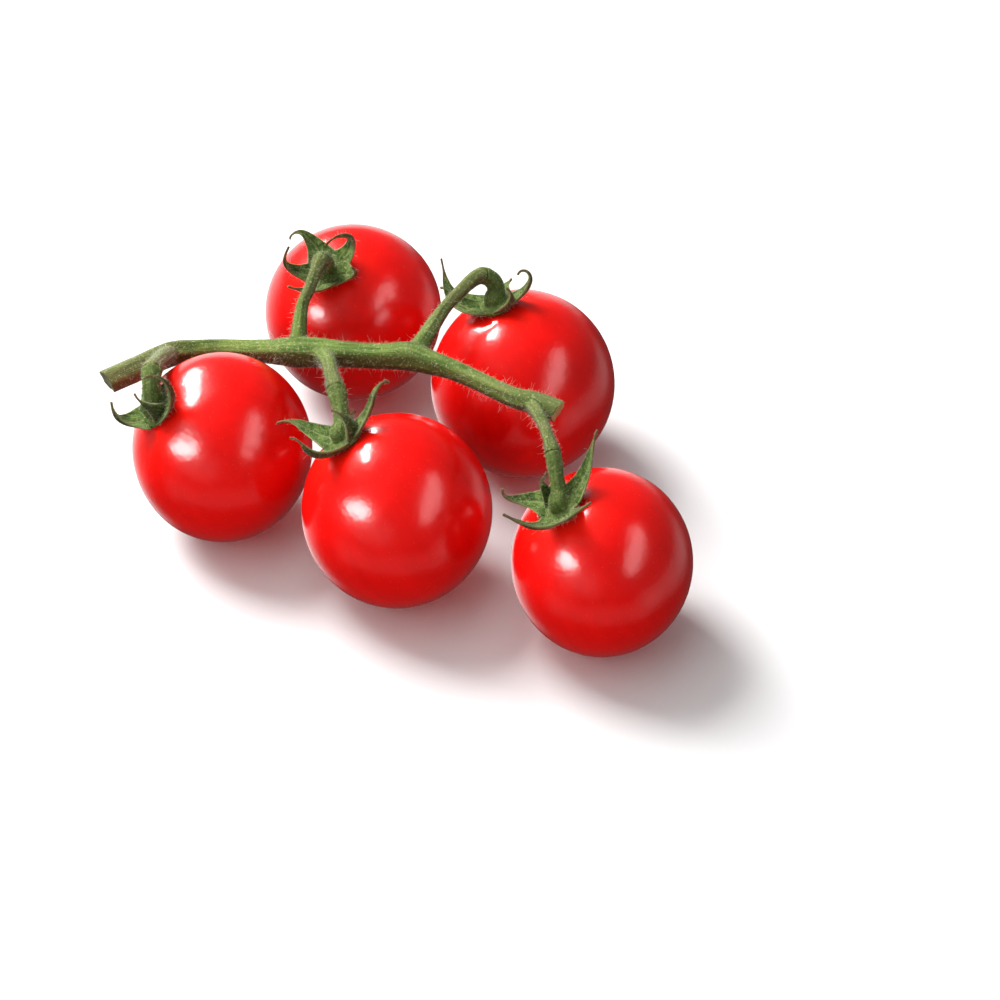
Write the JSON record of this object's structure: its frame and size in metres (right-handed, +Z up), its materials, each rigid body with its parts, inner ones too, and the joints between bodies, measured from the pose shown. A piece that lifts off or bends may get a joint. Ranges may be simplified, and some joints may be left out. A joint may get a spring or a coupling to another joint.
{
  "type": "truss of tomatoes",
  "caption": "Short truss of small round vine tomatoes, picked, lying on its fruits with its cut stem across the top.",
  "frame": {"origin": "on the resting surface, under the middle of the bounding box", "axes": "+X along the main stem, from its old cut end to its young one; +Y away from the side shown in the picture; +Z up"},
  "size_m": [0.1072, 0.1027, 0.0433],
  "materials": {
    "stem": "fresh green stem, yellow-green on top and browner at the old cut, finely hairy",
    "calyx": "dark green sepals with pale edges, finely hairy",
    "skin": "ripe red tomato skin, smooth and glossy"
  },
  "bodies": {
    "root": {"truss_stem": "stem", "calyx_1": "calyx", "calyx_2": "calyx", "calyx_3": "calyx", "calyx_4": "calyx", "calyx_5": "calyx", "tomato_1": "skin", "tomato_2": "skin", "tomato_3": "skin", "tomato_4": "skin", "tomato_5": "skin"}
  },
  "joints": []
}
